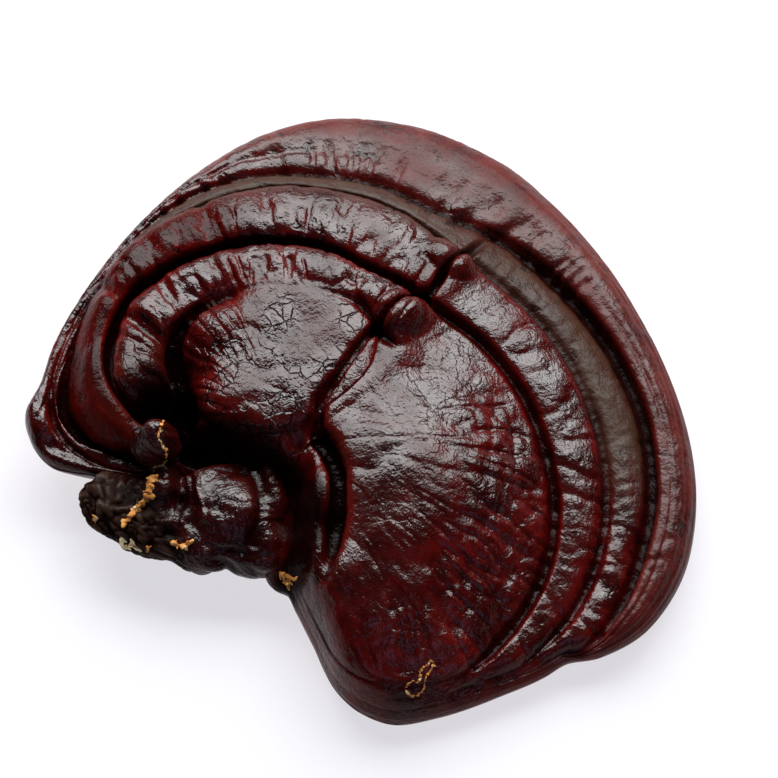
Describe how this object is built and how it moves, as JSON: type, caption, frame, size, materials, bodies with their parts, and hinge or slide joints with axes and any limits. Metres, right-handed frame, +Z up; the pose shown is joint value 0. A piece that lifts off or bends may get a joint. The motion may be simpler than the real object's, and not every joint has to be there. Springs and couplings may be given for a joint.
{
  "type": "reishi mushroom",
  "caption": "Dried reishi mushroom: kidney-shaped lacquered bracket cap with concentric growth ridges and a thick rim, on a short gnarled side stem, lying on its pore side.",
  "frame": {"origin": "on the flat of the sole, straight below the cap's growth centre", "axes": "+Z up, along the cap's thickness; the cap fans out towards +Y, and the stem comes out towards -Y"},
  "size_m": [0.1571, 0.143, 0.0329],
  "materials": {
    "cap_crust": "gloss",
    "stem_crust": "gloss"
  },
  "bodies": {
    "root": {"cap": "cap_crust", "stem": "stem_crust"}
  },
  "joints": []
}
